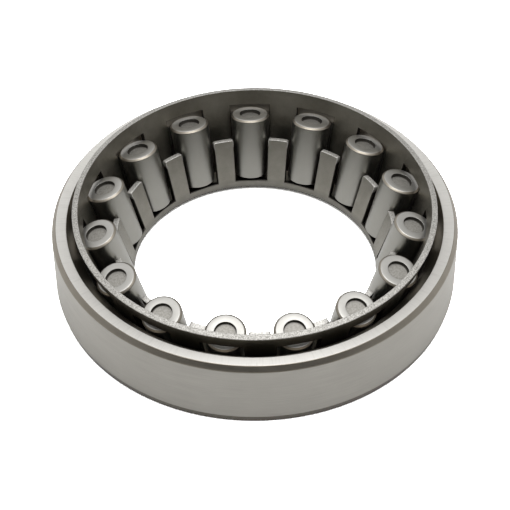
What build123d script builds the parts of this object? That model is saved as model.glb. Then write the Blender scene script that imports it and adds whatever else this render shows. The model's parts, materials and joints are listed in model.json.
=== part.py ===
from build123d import *
from math import atan, cos, radians, sin, sqrt, tan
import os

# Steering box bearing: a tapered roller bearing for a worm shaft that carries
# the inner track itself. It has a ground outer ring, a cage pressed from one
# disc of sheet, and loose tapered rollers that roll on the ring's raceway.
# Millimetres, +Z up, origin at the centre of the ring's base.

# Outer ring
outer_diameter = 80.0
ring_width = 15.0
ring_wall = 4.8            # metal outside the raceway, level with the rollers' large ends
bore_bevel = 2.3           # height of the lead-in between the raceway and the top face
bore_bevel_angle = 45.0
top_chamfer_radial = 0.8
top_chamfer_height = 1.15
base_chamfer_radial = 0.4
base_chamfer_height = 1.6
raceway_foot_chamfer = 0.5

# Rollers
roller_count = 15
first_roller_angle = 91.5
roller_tilt = 17.0         # lean of each roller's axis from the bearing's axis
roller_diameter = 8.0      # at the large end, which is on top
roller_length = 13.4
small_end_height = 2.3     # centre of the small end above the ring's base
end_dome_radius = 90.0
recess_diameter = 4.3
recess_depth = 0.8
end_chamfer = 0.4          # on the rims of both ends

# Cage
sheet = 1.2
bend_radius = 1.4          # outer skin of both bends
wall_offset = 3.4          # outer skin of the outer wall, from the rollers' axes
comb_offset = 2.75         # inner skin of the comb, from the rollers' axes
rim_rise = 4.35            # rim above the rollers' large ends, along the wall
finger_drop = 4.7          # finger tips below the rollers' large ends, along the wall
window_head = 1.0          # window above the large end, along the wall
pocket_corner_radius = 0.4

# Clearances
raceway_gap = 0.1          # between rollers and raceway
base_gap = 0.1             # between the cage's floor and the plane of the ring's base
window_gap = 0.18          # each side of a roller in its window
window_foot_gap = 0.4      # below the small end in the window
slot_gap = 0.12            # each side of a roller between two fingers
slot_foot_gap = 0.65       # below the small end in the slot
cut_margin = 2.0           # how far the cutting shapes reach past the sheet

# Geometry of the rollers, worked out from the sizes above
tilt = radians(roller_tilt)
outer_radius = outer_diameter / 2
large_radius = roller_diameter / 2
end_height = small_end_height + roller_length * cos(tilt)
end_radius = outer_radius - ring_wall - (large_radius + raceway_gap) * cos(tilt)
apex_distance = end_radius / sin(tilt)
taper = large_radius / apex_distance
small_radius = large_radius - roller_length * taper
raceway_angle = tilt + atan(taper)
roller_angles = [first_roller_angle + 360 / roller_count * index for index in range(roller_count)]


def station(outward, along):
    """Radius and height of a point beside a roller, from the centre of its large end."""
    radius = end_radius + along * sin(tilt) + outward * cos(tilt)
    height = end_height + along * cos(tilt) - outward * sin(tilt)
    return radius, height


def skin_radius(outward, height):
    """Radius at which a wall parallel to the rollers' axes passes a height."""
    along = (height - end_height + outward * sin(tilt)) / cos(tilt)
    return station(outward, along)[0]


def raceway_radius(height):
    """Radius of the raceway's cone at a height."""
    radius, top = station(large_radius + raceway_gap, 0)
    return radius + (height - top) * tan(raceway_angle)


def roller_radius(along):
    """Radius of a roller's taper at a place along its axis."""
    return large_radius + along * taper


def roller_section(angle):
    """Plane through a roller's axis and the bearing's: x points outward, y along the roller."""
    radial = Vector(1, 0, 0).rotate(Axis.Z, angle)
    along = radial * sin(tilt) + Vector(0, 0, cos(tilt))
    outward = radial * cos(tilt) - Vector(0, 0, sin(tilt))
    centre = radial * end_radius + Vector(0, 0, end_height)
    return Plane(origin=centre, x_dir=outward, z_dir=outward.cross(along))


def wall_plane(angle, outward):
    """Plane level with the cage's walls: y runs along the roller, z points outward."""
    section = roller_section(angle)
    return Plane(origin=section.origin, x_dir=-section.z_dir, z_dir=section.x_dir).offset(outward)


def make_outer_ring():
    """Ring with a conical raceway, a lead-in above it and chamfered outer edges."""
    bevel_foot = ring_width - bore_bevel
    mouth_radius = raceway_radius(bevel_foot) + bore_bevel * tan(radians(bore_bevel_angle))
    with BuildPart() as outer_ring:
        with BuildSketch(Plane.XZ):
            with BuildLine():
                Polyline(
                    (raceway_radius(raceway_foot_chamfer) + raceway_foot_chamfer, 0),
                    (outer_radius - base_chamfer_radial, 0),
                    (outer_radius, base_chamfer_height),
                    (outer_radius, ring_width - top_chamfer_height),
                    (outer_radius - top_chamfer_radial, ring_width),
                    (mouth_radius, ring_width),
                    (raceway_radius(bevel_foot), bevel_foot),
                    (raceway_radius(raceway_foot_chamfer), raceway_foot_chamfer),
                    close=True,
                )
            make_face()
        revolve(axis=Axis.Z)
    return outer_ring


def make_cage():
    """One pressed sheet: tall outer wall with windows, a floor and an inner comb."""
    finger_tip = station(-comb_offset, -finger_drop)
    comb_foot = (skin_radius(-comb_offset, base_gap), base_gap)
    wall_foot = (skin_radius(wall_offset, base_gap), base_gap)
    rim_top = station(wall_offset, rim_rise)

    window_foot = -roller_length - window_foot_gap
    window_top_half = roller_radius(window_head) + window_gap
    window_foot_half = roller_radius(window_foot) + window_gap

    comb_skin = comb_offset - sheet
    slot_foot = -roller_length - slot_foot_gap
    slot_top = cut_margin - finger_drop
    slot_top_half = sqrt(roller_radius(slot_top) ** 2 - comb_skin**2) + slot_gap
    slot_foot_half = sqrt(roller_radius(slot_foot) ** 2 - comb_skin**2) + slot_gap

    with BuildPart() as cage:
        with BuildSketch(Plane.XZ):
            with BuildLine():
                skin = FilletPolyline(finger_tip, comb_foot, wall_foot, rim_top, radius=bend_radius)
                offset(skin, amount=sheet, side=Side.LEFT)
            make_face()
        revolve(axis=Axis.Z)

        window_planes = [wall_plane(angle, wall_offset - sheet - cut_margin / 2) for angle in roller_angles]
        with BuildSketch(*window_planes) as windows:
            with BuildLine():
                Polyline(
                    (-window_foot_half, window_foot),
                    (window_foot_half, window_foot),
                    (window_top_half, window_head),
                    (-window_top_half, window_head),
                    close=True,
                )
            make_face()
            fillet(windows.vertices(), radius=pocket_corner_radius)
        extrude(amount=sheet + cut_margin, mode=Mode.SUBTRACT)

        slot_planes = [wall_plane(angle, -comb_skin + cut_margin / 4) for angle in roller_angles]
        with BuildSketch(*slot_planes):
            with BuildLine():
                Polyline(
                    (-slot_foot_half, slot_foot),
                    (slot_foot_half, slot_foot),
                    (slot_top_half, slot_top),
                    (-slot_top_half, slot_top),
                    close=True,
                )
            make_face()
        extrude(amount=-sheet - cut_margin, mode=Mode.SUBTRACT)
    return cage


def make_roller(angle):
    """Tapered roller, large end up, with a round recess in its domed large end."""
    section = roller_section(angle)
    roller_axis = Axis(section.origin, section.y_dir)
    recess_radius = recess_diameter / 2
    mid_ring = (recess_radius + large_radius) / 2

    def dome(radius):
        return (radius, sqrt(end_dome_radius**2 - radius**2) - end_dome_radius)

    with BuildPart() as roller:
        with BuildSketch(section):
            with BuildLine():
                Polyline((0, -recess_depth), (recess_radius, -recess_depth), dome(recess_radius))
                ThreePointArc(dome(recess_radius), dome(mid_ring), dome(large_radius))
                Polyline(
                    dome(large_radius),
                    (small_radius, -roller_length),
                    (0, -roller_length),
                    (0, -recess_depth),
                )
            make_face()
        revolve(axis=roller_axis)
        end_rims = roller.edges().filter_by(GeomType.CIRCLE).sort_by(SortBy.RADIUS)[-2:]
        chamfer(end_rims, length=end_chamfer)
    return roller


os.makedirs("parts", exist_ok=True)

outer_ring = make_outer_ring()
outer_ring.part.label = "outer_ring"
export_step(outer_ring.part, "parts/outer_ring.step")

cage = make_cage()
cage.part.label = "cage"
export_step(cage.part, "parts/cage.step")

for number, angle in enumerate(roller_angles, start=1):
    roller = make_roller(angle)
    roller.part.label = f"roller_{number:02d}"
    export_step(roller.part, f"parts/{roller.part.label}.step")
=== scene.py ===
import json
from math import asin, atan, atan2, cos, hypot, pi, radians, sin, sqrt, tan

import bmesh
import bpy
from mathutils import Matrix, Vector


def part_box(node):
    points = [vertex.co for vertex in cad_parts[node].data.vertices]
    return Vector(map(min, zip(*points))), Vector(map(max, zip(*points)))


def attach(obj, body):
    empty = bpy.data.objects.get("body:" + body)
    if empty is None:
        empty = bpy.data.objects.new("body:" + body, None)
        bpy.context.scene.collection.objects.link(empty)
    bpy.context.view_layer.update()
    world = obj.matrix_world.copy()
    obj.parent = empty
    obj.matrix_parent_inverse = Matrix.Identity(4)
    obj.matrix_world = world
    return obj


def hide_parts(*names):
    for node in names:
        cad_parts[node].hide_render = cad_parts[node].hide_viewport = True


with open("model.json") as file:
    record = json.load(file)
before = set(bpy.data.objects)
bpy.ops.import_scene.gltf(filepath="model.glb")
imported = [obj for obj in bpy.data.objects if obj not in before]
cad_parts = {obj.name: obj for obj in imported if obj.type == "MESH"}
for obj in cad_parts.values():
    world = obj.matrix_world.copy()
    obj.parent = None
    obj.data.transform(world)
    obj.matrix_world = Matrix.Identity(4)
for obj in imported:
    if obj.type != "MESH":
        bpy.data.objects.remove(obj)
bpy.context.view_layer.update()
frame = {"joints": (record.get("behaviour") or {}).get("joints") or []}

# Steering box bearing. Lengths are millimetres until a mesh is finished, which turns them to metres.

MM = 0.001

# Outer ring
OUTER_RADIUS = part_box("outer_ring")[1].x / MM
RING_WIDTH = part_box("outer_ring")[1].z / MM
RING_WALL = 4.8
BORE_BEVEL = 2.3
TOP_CHAMFER = (0.8, 1.15)       # radial, height
BASE_CHAMFER = (0.4, 1.6)
FOOT_CHAMFER = 0.5
EDGE_BREAK = 0.12               # rounding of the ring's sharp corners
BEVEL_FOOT_ROUNDING = 0.15
TOP_CHAMFER_ROUNDING = 0.3
BASE_CHAMFER_ROUNDINGS = (0.2, 0.35)
RING_STEPS = 240

# Rollers
ROLLER_COUNT = 15
FIRST_ROLLER = 91.5             # degrees
ROLLER_TILT = radians(17.0)
LARGE_RADIUS = 4.0
ROLLER_LENGTH = 13.4
SMALL_END_HEIGHT = 2.3
END_DOME = 90.0
RECESS_RADIUS = 2.15
RECESS_DEPTH = 0.8
RACEWAY_GAP = 0.1
LARGE_END_CHAMFER = 0.45
LARGE_END_EDGE = 0.08           # rounding of the chamfer's two edges
SMALL_END_ROUNDING = 0.3
RECESS_FLOOR_ROUNDING = 0.12
RECESS_MOUTH_ROUNDING = 0.05
END_RING_DEPTH = 0.14           # the domed ring lies within this of the large end's centre
ROLLER_STEPS = 72

# Cage
SHEET = 1.2
BEND_RADIUS = 1.4
WALL_OFFSET = 3.4
COMB_OFFSET = 2.75
RIM_RISE = 4.35
FINGER_DROP = 4.7
WINDOW_HEAD = 1.0
BASE_GAP = 0.1
WINDOW_GAP = 0.18
SLOT_GAP = 0.12
SLOT_FOOT_GAP = 0.65
POCKET_CORNER = 0.35
FINGER_CORNER = 0.35
PRESSED_EDGE = 0.12

# Where painted shade, a painted highlight or one finish goes over into the next, in the metres that the materials
# read
RECESS_WALL = (0.0019, 0.0021)      # from a roller's axis
BASE_CHAMFER_TOP = (0.0018, 0.0022) # heights, as the next four are
CAGE_FOOT = (0.001, 0.003)
FINGER_TIPS = (0.0098, 0.0106)
WALL_SHADE = (0.012, 0.0175)
CAGE_RIM = (0.0165, 0.0175)
AXES_FOOT_RADIUS = 0.027            # cone of the rollers' axes, near enough to part wall and comb
AXES_CONE_HEIGHT = 0.02
WALL_OR_COMB = (0.0, 0.001)         # outside that cone
OUTER_SKIN = (0.0024, 0.0028)

# Places worked out from these
END_HEIGHT = SMALL_END_HEIGHT + ROLLER_LENGTH * cos(ROLLER_TILT)
END_RADIUS = OUTER_RADIUS - RING_WALL - (LARGE_RADIUS + RACEWAY_GAP) * cos(ROLLER_TILT)
TAPER = LARGE_RADIUS * sin(ROLLER_TILT) / END_RADIUS
SMALL_RADIUS = LARGE_RADIUS - ROLLER_LENGTH * TAPER
RACEWAY_ANGLE = ROLLER_TILT + atan(TAPER)
SECTOR = 2 * pi / ROLLER_COUNT


def station(outward, along):
    """Radius and height of a point beside a roller, from the centre of its large end."""
    radius = END_RADIUS + along * sin(ROLLER_TILT) + outward * cos(ROLLER_TILT)
    height = END_HEIGHT + along * cos(ROLLER_TILT) - outward * sin(ROLLER_TILT)
    return radius, height


def along_wall(outward, height):
    """Place along a roller's axis at which a wall parallel to it passes a height."""
    return (height - END_HEIGHT + outward * sin(ROLLER_TILT)) / cos(ROLLER_TILT)


def raceway_radius(height):
    radius, top = station(LARGE_RADIUS + RACEWAY_GAP, 0)
    return radius + (height - top) * tan(RACEWAY_ANGLE)


# Mesh helpers

def profile_wire(corners, closed):
    """Wire in the XZ plane through (radius, height, rounding) corners, rounded where rounding isn't 0."""
    shape = bmesh.new()
    points = [shape.verts.new((radius * MM, 0, height * MM)) for radius, height, _ in corners]
    ends = points[1:] + points[:1] if closed else points[1:]
    for start, end in zip(points, ends):
        shape.edges.new((start, end))
    for point, (_, _, rounding) in zip(points, corners):
        if rounding:
            bmesh.ops.bevel(shape, geom=[point], offset=rounding * MM, offset_type="OFFSET",
                            segments=4, profile=0.5, affect="VERTICES", material=-1)
    return shape


def spin_about_z(shape, steps):
    """Turn a wire once round the Z axis and close the seam and the poles."""
    bmesh.ops.spin(shape, geom=shape.verts[:] + shape.edges[:], cent=(0, 0, 0), axis=(0, 0, 1),
                   angle=2 * pi, steps=steps, use_merge=True)
    bmesh.ops.remove_doubles(shape, verts=shape.verts, dist=1e-7)
    bmesh.ops.recalc_face_normals(shape, faces=shape.faces)


def finish_piece(name, shape, node, materials, modifiers=()):
    """Make the mesh a smooth-shaded piece that stands for one node and rides on its body."""
    for face in shape.faces:
        face.smooth = True
    mesh = bpy.data.meshes.new(name)
    shape.to_mesh(mesh)
    shape.free()
    for material in materials:
        mesh.materials.append(material)
    piece = bpy.data.objects.new(name, mesh)
    bpy.context.scene.collection.objects.link(piece)
    for kind, settings in modifiers:
        modifier = piece.modifiers.new(kind.title(), kind)
        for setting, value in settings.items():
            setattr(modifier, setting, value)
    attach(piece, node)
    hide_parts(node)
    return piece


EVEN_SHADING = ("WEIGHTED_NORMAL", {"weight": 100, "keep_sharp": True})


# Material helpers

def add_node(tree, kind, inputs=None, **settings):
    """Add a shader node; an input is a value or another node's output."""
    made = tree.nodes.new(kind)
    for setting, value in settings.items():
        setattr(made, setting, value)
    for socket, value in (inputs or {}).items():
        if isinstance(value, bpy.types.NodeSocket):
            tree.links.new(value, made.inputs[socket])
        else:
            made.inputs[socket].default_value = value
    return made


def calculate(tree, operation, *values):
    return add_node(tree, "ShaderNodeMath", dict(enumerate(values)), operation=operation).outputs[0]


def noise(tree, vector, scale, detail=4.0, w=None, roughness=0.6):
    inputs = {"Vector": vector, "Scale": scale, "Detail": detail, "Roughness": roughness}
    if w is None:
        return add_node(tree, "ShaderNodeTexNoise", inputs).outputs["Fac"]
    return add_node(tree, "ShaderNodeTexNoise", {**inputs, "W": w}, noise_dimensions="4D").outputs["Fac"]


def remap(tree, value, low, high, to_low, to_high):
    inputs = {"Value": value, "From Min": low, "From Max": high, "To Min": to_low, "To Max": to_high}
    return add_node(tree, "ShaderNodeMapRange", inputs).outputs["Result"]


def blend_colours(tree, share, first, second):
    made = add_node(tree, "ShaderNodeMix", data_type="RGBA")
    for socket, value in ((0, share), (6, first), (7, second)):
        if isinstance(value, bpy.types.NodeSocket):
            tree.links.new(value, made.inputs[socket])
        else:
            made.inputs[socket].default_value = value
    return made.outputs[2]


def new_metal(name):
    """A fully metallic material: its tree and its shader."""
    material = bpy.data.materials.new(name)
    material.use_nodes = True
    shader = material.node_tree.nodes["Principled BSDF"]
    shader.inputs["Metallic"].default_value = 1.0
    return material, material.node_tree, shader


def apply_surface(tree, shader, colour, roughness, height, depth):
    tree.links.new(colour, shader.inputs["Base Color"])
    tree.links.new(roughness, shader.inputs["Roughness"])
    bump = add_node(tree, "ShaderNodeBump", {"Height": height, "Strength": 1.0, "Distance": depth})
    tree.links.new(bump.outputs["Normal"], shader.inputs["Normal"])


def object_position(tree):
    return add_node(tree, "ShaderNodeTexCoord").outputs["Object"]


def roller_position(tree):
    """Place on a roller as it was spun, before it was put on its axis."""
    return add_node(tree, "ShaderNodeAttribute", attribute_name="roller_place").outputs["Vector"]


def vector_math(tree, operation, *values):
    return add_node(tree, "ShaderNodeVectorMath", dict(enumerate(values)), operation=operation).outputs[0]


def scaled(tree, vector, factor):
    return add_node(tree, "ShaderNodeVectorMath", {0: vector, "Scale": factor}, operation="SCALE").outputs[0]


def height_of(tree, position):
    return add_node(tree, "ShaderNodeSeparateXYZ", {"Vector": position}).outputs["Z"]


def across_axis(tree, position):
    """The part of a position that lies across the Z axis."""
    return vector_math(tree, "MULTIPLY", position, (1, 1, 0))


def radius_of(tree, position):
    flat = across_axis(tree, position)
    return add_node(tree, "ShaderNodeVectorMath", {0: flat}, operation="LENGTH").outputs["Value"]


def beyond_axes(tree, position):
    """Distance of a point of the cage outside the cone that the rollers' axes lie on, in metres."""
    foot, height = AXES_FOOT_RADIUS, AXES_CONE_HEIGHT
    cone = remap(tree, height_of(tree, position), 0.0, height, foot, foot + height * tan(ROLLER_TILT))
    return calculate(tree, "SUBTRACT", radius_of(tree, position), cone)


def step_over(tree, value, span):
    """0 below a span, 1 above it."""
    return remap(tree, value, *span, 0.0, 1.0)


def turning_marks(tree, position, fineness, streak):
    """Noise drawn out round the Z axis: fine across, streak times longer along, with no seam."""
    way = scaled(tree, vector_math(tree, "NORMALIZE", across_axis(tree, position)), streak)
    lift = calculate(tree, "MULTIPLY", height_of(tree, position), fineness)
    place = vector_math(tree, "ADD", way, add_node(tree, "ShaderNodeCombineXYZ", {"Z": lift}).outputs[0])
    return noise(tree, place, 1.0, 3.0, calculate(tree, "MULTIPLY", radius_of(tree, position), fineness))


# Finishes, some with painted shade and painted highlights

def ground_ring_steel():
    """Finely ground bearing steel: faint lines round the ring and light blotches."""
    material, tree, shader = new_metal("ground_ring_steel")
    position = object_position(tree)
    lines = turning_marks(tree, position, 5200.0, 5.0)
    blotches = noise(tree, position, 130.0, 3.0)
    grain = noise(tree, position, 5200.0, 2.0)
    tint = blend_colours(tree, blotches, (0.388, 0.372, 0.338, 1), (0.438, 0.422, 0.388, 1))
    tint = blend_colours(tree, remap(tree, lines, 0.35, 0.65, 0.0, 0.35), tint, (0.33, 0.321, 0.296, 1))
    rough = remap(tree, calculate(tree, "ADD", lines, grain), 0.7, 1.3, 0.44, 0.54)
    apply_surface(tree, shader, tint, rough, calculate(tree, "ADD", lines, grain), 1e-6)
    return material


def ground_face_steel():
    """The ring's flat faces, ground with the marks running round: they spread light across the marks."""
    material, tree, shader = new_metal("ground_face_steel")
    position = object_position(tree)
    lines = turning_marks(tree, position, 5200.0, 12.0)
    blotches = noise(tree, position, 160.0, 3.0)
    crossing = turning_marks(tree, position, 260.0, 110.0)
    tint = blend_colours(tree, blotches, (0.65, 0.636, 0.603, 1), (0.71, 0.696, 0.663, 1))
    tint = blend_colours(tree, remap(tree, crossing, 0.5, 0.68, 0.0, 0.35), tint, (0.52, 0.508, 0.475, 1))
    rough = remap(tree, lines, 0.3, 0.7, 0.46, 0.54)
    apply_surface(tree, shader, tint, rough, lines, 4e-6)
    tree.links.new(across_axis(tree, position), shader.inputs["Tangent"])
    shader.inputs["Anisotropic"].default_value = 0.7
    return material


def turned_chamfer_steel():
    """Corners of the ring and the rollers, turned and left unground: brown, with a painted shade that makes the
    ring's base chamfer darkest.
    """
    material, tree, shader = new_metal("turned_chamfer_steel")
    position = object_position(tree)
    lines = turning_marks(tree, position, 6000.0, 4.0)
    blotches = noise(tree, position, 300.0, 4.0)
    tint = blend_colours(tree, blotches, (0.215, 0.194, 0.160, 1), (0.275, 0.252, 0.214, 1))
    # Painted shade: the tint is darkened below the base chamfer's top, where the ring meets the floor.
    tint = scaled(tree, tint, remap(tree, height_of(tree, position), *BASE_CHAMFER_TOP, 0.62, 1.0))
    rough = remap(tree, lines, 0.3, 0.7, 0.34, 0.46)
    apply_surface(tree, shader, tint, rough, lines, 2e-6)
    return material


def pressed_sheet_steel():
    """Mild sheet, drawn and pressed: a little brown and mottled by the tools, with painted shade: darker low on
    the wall, at the comb's foot and on the outer skin, the comb kept lighter than the wall.
    """
    material, tree, shader = new_metal("pressed_sheet_steel")
    position = object_position(tree)
    mottle = noise(tree, position, 420.0, 5.0)
    grain = noise(tree, position, 3600.0, 3.0)
    height = height_of(tree, position)
    outside = beyond_axes(tree, position)
    # Painted shade: the comb is darker at the cage's foot and lighter than the wall; the wall is darker towards
    # its foot and on its outer skin.
    comb = blend_colours(tree, step_over(tree, height, CAGE_FOOT), (0.46, 0.465, 0.475, 1), (0.84, 0.84, 0.84, 1))
    wall = blend_colours(tree, step_over(tree, height, WALL_SHADE), (0.46, 0.45, 0.43, 1), (0.75, 0.74, 0.72, 1))
    wall = blend_colours(tree, step_over(tree, outside, OUTER_SKIN), wall, (0.42, 0.40, 0.365, 1))
    painted_shade = blend_colours(tree, step_over(tree, outside, WALL_OR_COMB), comb, wall)
    tint = blend_colours(tree, mottle, (0.25, 0.236, 0.203, 1), (0.36, 0.345, 0.304, 1))
    tint = vector_math(tree, "MULTIPLY", tint, painted_shade)
    rough = remap(tree, grain, 0.3, 0.7, 0.34, 0.50)
    apply_surface(tree, shader, tint, rough, calculate(tree, "ADD", mottle, grain), 9e-6)
    return material


def sheared_sheet_steel():
    """The sheet's cut edges: granular on the rim, near black in the pockets by painted shade, bright on the finger
    tips by a painted highlight.
    """
    material, tree, shader = new_metal("sheared_sheet_steel")
    position = object_position(tree)
    grain = noise(tree, position, 4200.0, 3.0)
    height = height_of(tree, position)
    on_comb = calculate(tree, "SUBTRACT", 1.0, step_over(tree, beyond_axes(tree, position), WALL_OR_COMB))
    on_tip = calculate(tree, "MULTIPLY", step_over(tree, height, FINGER_TIPS), on_comb)
    on_rim = step_over(tree, height, CAGE_RIM)
    share = step_over(tree, grain, (0.35, 0.65))
    # Painted highlight: the cut edges of the finger tips get a bright tint.
    tip = blend_colours(tree, share, (0.40, 0.39, 0.365, 1), (0.72, 0.708, 0.68, 1))
    rim = blend_colours(tree, share, (0.20, 0.193, 0.177, 1), (0.55, 0.538, 0.508, 1))
    # Painted shade: the cut edges in the pockets are tinted near black.
    tint = blend_colours(tree, on_rim, (0.06, 0.056, 0.05, 1), rim)
    tint = blend_colours(tree, on_tip, tint, tip)
    rough = remap(tree, calculate(tree, "MAXIMUM", on_tip, on_rim), 0.0, 1.0, 0.38, 0.58)
    apply_surface(tree, shader, tint, rough, grain, 2e-5)
    return material


def ground_roller_steel():
    """Through-hardened roller, centreless ground: smooth and even."""
    material, tree, shader = new_metal("ground_roller_steel")
    place = roller_position(tree)
    blotches = noise(tree, place, 260.0, 3.0)
    tint = blend_colours(tree, blotches, (0.290, 0.283, 0.258, 1), (0.326, 0.319, 0.293, 1))
    rough = remap(tree, blotches, 0.3, 0.7, 0.32, 0.36)
    tree.links.new(tint, shader.inputs["Base Color"])
    tree.links.new(rough, shader.inputs["Roughness"])
    return material


def ground_end_steel():
    """The large end's ring: ground on its own, duller than the barrel, with lines round the roller."""
    material, tree, shader = new_metal("ground_end_steel")
    place = roller_position(tree)
    lines = turning_marks(tree, place, 6000.0, 3.0)
    blotches = noise(tree, place, 500.0, 3.0)
    tint = blend_colours(tree, blotches, (0.36, 0.352, 0.33, 1), (0.42, 0.412, 0.39, 1))
    rough = remap(tree, lines, 0.3, 0.7, 0.38, 0.44)
    apply_surface(tree, shader, tint, rough, lines, 1e-6)
    return material


def forged_recess_steel():
    """The headed recess: an unground, mottled floor, with the wall tinted dark as painted shade."""
    material, tree, shader = new_metal("forged_recess_steel")
    place = roller_position(tree)
    mottle = noise(tree, place, 2600.0, 4.0)
    share = step_over(tree, mottle, (0.35, 0.65))
    tint = blend_colours(tree, share, (0.26, 0.250, 0.228, 1), (0.38, 0.368, 0.342, 1))
    # Painted shade: the recess wall, beyond RECESS_WALL from the roller's axis, is tinted near black.
    tint = blend_colours(tree, step_over(tree, radius_of(tree, place), RECESS_WALL), tint, (0.07, 0.066, 0.058, 1))
    rough = remap(tree, mottle, 0.3, 0.7, 0.54, 0.64)
    apply_surface(tree, shader, tint, rough, mottle, 2e-5)
    return material


# Pieces

def make_outer_ring(ground_material, turned_material, face_material):
    """Ring spun from its section, with turned corners and ground end faces."""
    bevel_foot = RING_WIDTH - BORE_BEVEL
    shape = profile_wire([
        (raceway_radius(FOOT_CHAMFER) + FOOT_CHAMFER, 0, EDGE_BREAK),
        (OUTER_RADIUS - BASE_CHAMFER[0], 0, BASE_CHAMFER_ROUNDINGS[0]),
        (OUTER_RADIUS, BASE_CHAMFER[1], BASE_CHAMFER_ROUNDINGS[1]),
        (OUTER_RADIUS, RING_WIDTH - TOP_CHAMFER[1], TOP_CHAMFER_ROUNDING),
        (OUTER_RADIUS - TOP_CHAMFER[0], RING_WIDTH, EDGE_BREAK),
        (raceway_radius(bevel_foot) + BORE_BEVEL, RING_WIDTH, EDGE_BREAK),
        (raceway_radius(bevel_foot), bevel_foot, BEVEL_FOOT_ROUNDING),
        (raceway_radius(FOOT_CHAMFER), FOOT_CHAMFER, EDGE_BREAK),
    ], closed=True)
    spin_about_z(shape, RING_STEPS)
    for face in shape.faces:
        centre = face.calc_center_median() / MM
        outside = hypot(centre.x, centre.y) > OUTER_RADIUS - 1.0
        low, high = BASE_CHAMFER[1], RING_WIDTH - (TOP_CHAMFER[1] if outside else BORE_BEVEL)
        if abs(face.normal.z) > 0.95:
            face.material_index = 2
        elif centre.z > high or outside and centre.z < low:
            face.material_index = 1
    return finish_piece("ground_outer_ring", shape, "outer_ring",
                        [ground_material, turned_material, face_material], [EVEN_SHADING])


def window_half_angle(radius, height):
    """Angle from a roller to the edge of its window, at a point of the outer wall."""
    along = min(max(along_wall(WALL_OFFSET, height), -ROLLER_LENGTH), WINDOW_HEAD)
    return asin((LARGE_RADIUS + along * TAPER + WINDOW_GAP) / radius)


def slot_half_angle(radius, height):
    """Angle from a roller to the side of a finger, at a point of the comb."""
    along = max(along_wall(-COMB_OFFSET, height), -ROLLER_LENGTH - SLOT_FOOT_GAP)
    chord = sqrt((LARGE_RADIUS + along * TAPER) ** 2 - (COMB_OFFSET - SHEET) ** 2)
    return asin((chord + SLOT_GAP) / radius)


# Columns of the cage's mesh in each sector: the corners of a pocket, its middle and the bar beside it
POCKET_COLUMNS = 6
BAR_COLUMNS = 4
SECTOR_COLUMNS = POCKET_COLUMNS + BAR_COLUMNS


def column_angle(column, half, radius):
    """Angle of a mesh column from the roller of its sector."""
    corner = POCKET_CORNER / radius
    if column == 0:
        return -half
    if column == POCKET_COLUMNS:
        return half
    if column < POCKET_COLUMNS:
        inner = half - corner
        return -inner + 2 * inner * (column - 1) / (POCKET_COLUMNS - 2)
    return half + (SECTOR - 2 * half) * (column - POCKET_COLUMNS) / BAR_COLUMNS


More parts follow.
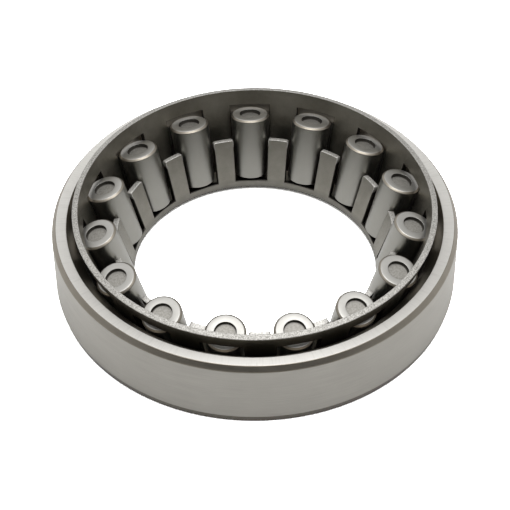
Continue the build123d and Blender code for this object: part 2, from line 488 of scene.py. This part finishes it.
def make_cage(sheet_material, cut_material):
    """Pressed cage: the sheet's outer skin is spun, its columns are drawn to the pockets' edges,
    the pockets are cut out, and the sheet gets its thickness on the rollers' side."""
    tip = station(-COMB_OFFSET, -FINGER_DROP)
    rim = station(WALL_OFFSET, RIM_RISE)
    comb_foot = station(-COMB_OFFSET, along_wall(-COMB_OFFSET, BASE_GAP))
    wall_foot = station(WALL_OFFSET, along_wall(WALL_OFFSET, BASE_GAP))
    comb_bend = BEND_RADIUS * tan((pi / 2 + ROLLER_TILT) / 2)
    wall_bend = BEND_RADIUS * tan((pi / 2 - ROLLER_TILT) / 2)
    slot_foot = -ROLLER_LENGTH - SLOT_FOOT_GAP
    window_foot = along_wall(WALL_OFFSET, BASE_GAP + wall_bend * cos(ROLLER_TILT))

    def comb(along):
        return (*station(-COMB_OFFSET, along), 0)

    def wall(along):
        return (*station(WALL_OFFSET, along), 0)

    comb_rows = [comb(slot_foot + (-FINGER_DROP - slot_foot) * step / 4) for step in (3, 2, 1)]
    wall_rows = [wall(window_foot + (WINDOW_HEAD - window_foot) * step / 5) for step in (1, 2, 3, 4)]
    shape = profile_wire(
        [(*tip, 0)] + comb_rows
        + [comb(slot_foot + POCKET_CORNER), comb(slot_foot), (*comb_foot, comb_bend), (*wall_foot, wall_bend),
           wall(window_foot + POCKET_CORNER)] + wall_rows
        + [wall(WINDOW_HEAD - POCKET_CORNER), wall(WINDOW_HEAD), wall((WINDOW_HEAD + RIM_RISE) / 2), (*rim, 0)],
        closed=False)
    steps = SECTOR_COLUMNS * ROLLER_COUNT
    spin_about_z(shape, steps)

    def on_comb(place):
        """Whether a place on the sheet lies on the comb's side of the rollers' axes."""
        return hypot(place.x, place.y) < station(0, along_wall(0, place.z / MM))[0] * MM

    for point in shape.verts:
        radius, height = hypot(point.co.x, point.co.y), point.co.z
        half_angle = slot_half_angle if on_comb(point.co) else window_half_angle
        half = half_angle(radius / MM, height / MM)
        sector, column = divmod(round(atan2(point.co.y, point.co.x) / (2 * pi) * steps) % steps, SECTOR_COLUMNS)
        angle = radians(FIRST_ROLLER) + sector * SECTOR + column_angle(column, half, radius / MM)
        point.co.x, point.co.y = radius * cos(angle), radius * sin(angle)

    slot_low = station(-COMB_OFFSET, slot_foot)[1] * MM
    window_low = station(WALL_OFFSET, window_foot)[1] * MM
    window_high = station(WALL_OFFSET, WINDOW_HEAD)[1] * MM

    def in_pocket(face):
        centre = face.calc_center_median()
        radius = hypot(centre.x, centre.y)
        if on_comb(centre):
            half = slot_half_angle(radius / MM, centre.z / MM)
            open_row = centre.z > slot_low
        else:
            half = window_half_angle(radius / MM, centre.z / MM)
            open_row = window_low < centre.z < window_high
        turn = (atan2(centre.y, centre.x) - radians(FIRST_ROLLER)) / SECTOR
        return open_row and abs(turn - round(turn)) * SECTOR < half

    bmesh.ops.delete(shape, geom=[face for face in shape.faces if in_pocket(face)], context="FACES")
    tip_height = tip[1] * MM
    corners = [point for point in shape.verts if abs(point.co.z - tip_height) < 1e-6
               and on_comb(point.co) and len(point.link_edges) == 2]
    bmesh.ops.bevel(shape, geom=corners, offset=FINGER_CORNER * MM, offset_type="OFFSET",
                    segments=3, profile=0.5, affect="VERTICES", material=-1)
    rim_face = max(shape.faces, key=lambda face: face.calc_center_median().z)
    centre = rim_face.calc_center_median()
    if rim_face.normal.x * centre.x + rim_face.normal.y * centre.y < 0:
        bmesh.ops.reverse_faces(shape, faces=shape.faces)
    thickness = ("SOLIDIFY", {"thickness": SHEET * MM, "offset": -1.0, "use_even_offset": True,
                              "material_offset_rim": 1})
    edges = ("BEVEL", {"width": PRESSED_EDGE * MM, "segments": 2, "limit_method": "ANGLE",
                       "angle_limit": radians(50), "material": 1})
    return finish_piece("pressed_cage", shape, "cage", [sheet_material, cut_material],
                        [thickness, edges, EVEN_SHADING])


def make_roller(joint, ground_material, forged_material, end_material, turned_material):
    """Tapered roller, spun about Z with the centre of its large end at the origin, then put on its axis."""
    def dome(radius):
        return sqrt(END_DOME**2 - radius**2) - END_DOME

    mid_ring = (RECESS_RADIUS + LARGE_RADIUS) / 2
    ring_edge = LARGE_RADIUS - LARGE_END_CHAMFER
    shape = profile_wire([
        (0, -RECESS_DEPTH, 0),
        (RECESS_RADIUS / 2, -RECESS_DEPTH, 0),
        (RECESS_RADIUS, -RECESS_DEPTH, RECESS_FLOOR_ROUNDING),
        (RECESS_RADIUS, dome(RECESS_RADIUS), RECESS_MOUTH_ROUNDING),
        (mid_ring, dome(mid_ring), 0),
        (ring_edge, dome(ring_edge), LARGE_END_EDGE),
        (LARGE_RADIUS - LARGE_END_CHAMFER * TAPER, -LARGE_END_CHAMFER, LARGE_END_EDGE),
        (SMALL_RADIUS, -ROLLER_LENGTH, SMALL_END_ROUNDING),
        (0, -ROLLER_LENGTH, 0),
    ], closed=False)
    spin_about_z(shape, ROLLER_STEPS)
    place = shape.verts.layers.float_vector.new("roller_place")
    number = int(joint["child"].split("_")[1])
    for point in shape.verts:
        point[place] = point.co + Vector((0, 0, number * 0.05))     # sets each roller's marks apart
    for face in shape.faces:
        centre = face.calc_center_median() / MM
        if hypot(centre.x, centre.y) < RECESS_RADIUS:
            if -2 * RECESS_DEPTH < centre.z < -RECESS_MOUTH_ROUNDING:
                face.material_index = 1
        elif centre.z > -END_RING_DEPTH:
            face.material_index = 2
        elif centre.z > -LARGE_END_CHAMFER:
            face.material_index = 3
    lean = Vector((0, 0, 1)).rotation_difference(Vector(joint["axis"])).to_matrix().to_4x4()
    bmesh.ops.transform(shape, matrix=Matrix.Translation(joint["pos_m"]) @ lean, verts=shape.verts)
    return finish_piece(f"ground_{joint['child']}", shape, joint["child"],
                        [ground_material, forged_material, end_material, turned_material], [EVEN_SHADING])


# Stage, light and camera

def make_floor():
    """White floor that keeps the object's shadow. The camera sees it as white, and the metal as a floor
    that gets brighter from front to back, a painted shade in front of the bearing."""
    shape = bmesh.new()
    bmesh.ops.create_grid(shape, x_segments=1, y_segments=1, size=3.0)
    mesh = bpy.data.meshes.new("floor")
    shape.to_mesh(mesh)
    shape.free()
    floor = bpy.data.objects.new("floor", mesh)
    bpy.context.scene.collection.objects.link(floor)
    material = bpy.data.materials.new("white_floor")
    material.use_nodes = True
    tree = material.node_tree
    tree.nodes.clear()
    rays = add_node(tree, "ShaderNodeLightPath").outputs
    mirrored = calculate(tree, "MAXIMUM", rays["Is Glossy Ray"], rays["Is Transmission Ray"])
    back = add_node(tree, "ShaderNodeSeparateXYZ", {"Vector": object_position(tree)}).outputs["Y"]
    # Painted shade: the floor that the metal mirrors is darker towards the front.
    level = remap(tree, back, -0.045, 0.0, 0.70, 0.92)
    seen = add_node(tree, "ShaderNodeCombineColor", {"Red": level, "Green": level, "Blue": level}).outputs[0]
    colour = blend_colours(tree, mirrored, (0.8, 0.8, 0.8, 1), seen)
    colour = blend_colours(tree, rays["Is Camera Ray"], colour, (3.0, 3.0, 3.0, 1))
    paint = add_node(tree, "ShaderNodeBsdfDiffuse", {"Color": colour}).outputs[0]
    add_node(tree, "ShaderNodeOutputMaterial", {"Surface": paint})
    mesh.materials.append(material)


def make_world():
    """Studio seen by the metal: bright above, dim at the horizon and dark on the camera's side."""
    world = bpy.data.worlds.new("studio")
    world.use_nodes = True
    tree = world.node_tree
    tree.nodes.clear()
    way = add_node(tree, "ShaderNodeTexCoord").outputs["Generated"]
    lean = radians(-3.0)
    height = add_node(tree, "ShaderNodeVectorMath", {0: way, 1: (0, sin(lean), cos(lean))},
                      operation="DOT_PRODUCT").outputs["Value"]
    back = add_node(tree, "ShaderNodeSeparateXYZ", {"Vector": way}).outputs["Y"]
    front = remap(tree, back, -0.75, -0.1, 0.15, 1.0)
    brightest = 2.0
    above = add_node(tree, "ShaderNodeValToRGB", {"Fac": height})
    stops = above.color_ramp.elements
    levels = ((0.0, 0.75), (0.25, 0.75), (0.5, 0.8), (0.75, 1.05), (1.0, 1.8))
    while len(stops) < len(levels):
        stops.new(0.5)
    for stop, (place, level) in zip(stops, levels):
        stop.position = place
        stop.color = (level / brightest,) * 3 + (1,)
    glow = scaled(tree, above.outputs["Color"], calculate(tree, "MULTIPLY", front, brightest))
    rays = add_node(tree, "ShaderNodeLightPath").outputs
    strength = blend_colours(tree, rays["Is Camera Ray"], glow, (1, 1, 1, 1))
    background = add_node(tree, "ShaderNodeBackground", {"Color": strength, "Strength": 1.0}).outputs[0]
    add_node(tree, "ShaderNodeOutputWorld", {"Surface": background})
    bpy.context.scene.world = world


def make_lamp(name, width, depth, radiance, place, target=(0, 0, 0)):
    """Softbox of even radiance, aimed at the object."""
    lamp = bpy.data.lights.new(name, "AREA")
    lamp.shape = "RECTANGLE"
    lamp.size, lamp.size_y = width, depth
    lamp.energy = radiance * pi * width * depth
    holder = bpy.data.objects.new(name, lamp)
    holder.location = place
    holder.rotation_euler = (Vector(place) - Vector(target)).to_track_quat("Z", "Y").to_euler()
    bpy.context.scene.collection.objects.link(holder)


def make_camera():
    """Long lens from above the front, at the photograph's place and turn."""
    lens = bpy.data.cameras.new("camera")
    lens.sensor_width = 36.0
    lens.lens = 143.02
    camera = bpy.data.objects.new("camera", lens)
    camera.location = (0, -0.287833, 0.291025)
    camera.rotation_euler = (radians(45.147), radians(0.342), radians(-0.336))
    bpy.context.scene.collection.objects.link(camera)
    bpy.context.scene.camera = camera


# The bearing and its stage

turned_steel = turned_chamfer_steel()
make_outer_ring(ground_ring_steel(), turned_steel, ground_face_steel())
make_cage(pressed_sheet_steel(), sheared_sheet_steel())
roller_materials = ground_roller_steel(), forged_recess_steel(), ground_end_steel(), turned_steel
for joint in frame["joints"]:
    if joint["child"].startswith("roller"):
        make_roller(joint, *roller_materials)

make_floor()
make_world()
make_lamp("overhead", 0.9, 0.45, 4.2, (0.08, -0.14, 1.0), (0.08, 0, 0))
make_lamp("left", 0.6, 0.6, 0.5, (-0.5, 0.944, 0.545))
make_camera()
bpy.context.scene.view_settings.view_transform = "Standard"
